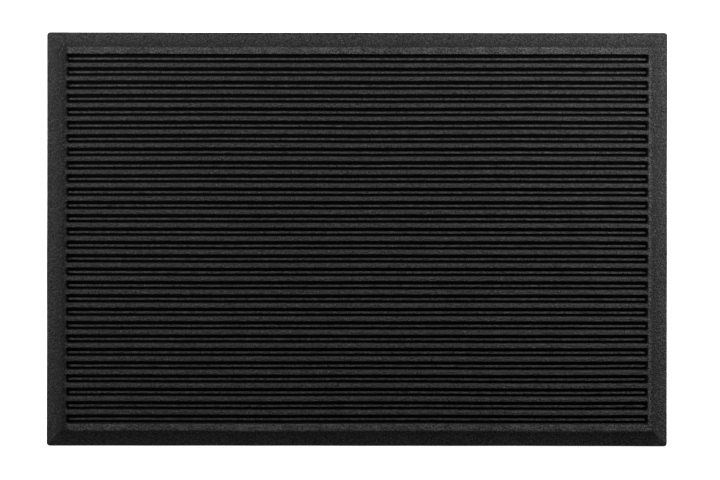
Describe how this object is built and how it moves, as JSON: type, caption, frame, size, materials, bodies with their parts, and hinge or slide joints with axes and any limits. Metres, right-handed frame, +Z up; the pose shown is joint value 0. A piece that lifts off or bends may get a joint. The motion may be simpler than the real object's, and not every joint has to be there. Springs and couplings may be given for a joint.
{
  "type": "door mat",
  "caption": "Black moulded rubber door mat with a bevelled border, lengthwise tread bars and a low scraper rib in each groove between them.",
  "frame": {"origin": "centre of the underside, on the floor", "axes": "+X along the grooves, the mat's long side; +Y across the grooves towards the rear edge; +Z up, out of the tread"},
  "size_m": [0.6, 0.4, 0.009],
  "materials": {
    "base_rubber": "matt black moulded rubber, fine even grain",
    "border_rubber": "black moulded rubber with a fine speckled grain and a soft sheen on the bevels",
    "tread_rubber": "black moulded rubber with a fine speckled grain, a little worn on the top faces",
    "rib_rubber": "black moulded rubber with a fine speckled grain on a narrow top"
  },
  "bodies": {
    "root": {"base_sheet": "base_rubber", "border_front": "border_rubber", "border_rear": "border_rubber", "border_left": "border_rubber", "border_right": "border_rubber", "tread_bar_01": "tread_rubber", "tread_bar_02": "tread_rubber", "tread_bar_03": "tread_rubber", "tread_bar_04": "tread_rubber", "tread_bar_05": "tread_rubber", "tread_bar_06": "tread_rubber", "tread_bar_07": "tread_rubber", "tread_bar_08": "tread_rubber", "tread_bar_09": "tread_rubber", "tread_bar_10": "tread_rubber", "tread_bar_11": "tread_rubber", "tread_bar_12": "tread_rubber", "tread_bar_13": "tread_rubber", "tread_bar_14": "tread_rubber", "tread_bar_15": "tread_rubber", "tread_bar_16": "tread_rubber", "tread_bar_17": "tread_rubber", "tread_bar_18": "tread_rubber", "tread_bar_19": "tread_rubber", "tread_bar_20": "tread_rubber", "tread_bar_21": "tread_rubber", "tread_bar_22": "tread_rubber", "tread_bar_23": "tread_rubber", "tread_bar_24": "tread_rubber", "tread_bar_25": "tread_rubber", "tread_bar_26": "tread_rubber", "tread_bar_27": "tread_rubber", "scraper_rib_01": "rib_rubber", "scraper_rib_02": "rib_rubber", "scraper_rib_03": "rib_rubber", "scraper_rib_04": "rib_rubber", "scraper_rib_05": "rib_rubber", "scraper_rib_06": "rib_rubber", "scraper_rib_07": "rib_rubber", "scraper_rib_08": "rib_rubber", "scraper_rib_09": "rib_rubber", "scraper_rib_10": "rib_rubber", "scraper_rib_11": "rib_rubber", "scraper_rib_12": "rib_rubber", "scraper_rib_13": "rib_rubber", "scraper_rib_14": "rib_rubber", "scraper_rib_15": "rib_rubber", "scraper_rib_16": "rib_rubber", "scraper_rib_17": "rib_rubber", "scraper_rib_18": "rib_rubber", "scraper_rib_19": "rib_rubber", "scraper_rib_20": "rib_rubber", "scraper_rib_21": "rib_rubber", "scraper_rib_22": "rib_rubber", "scraper_rib_23": "rib_rubber", "scraper_rib_24": "rib_rubber", "scraper_rib_25": "rib_rubber", "scraper_rib_26": "rib_rubber", "scraper_rib_27": "rib_rubber", "scraper_rib_28": "rib_rubber"}
  },
  "joints": []
}
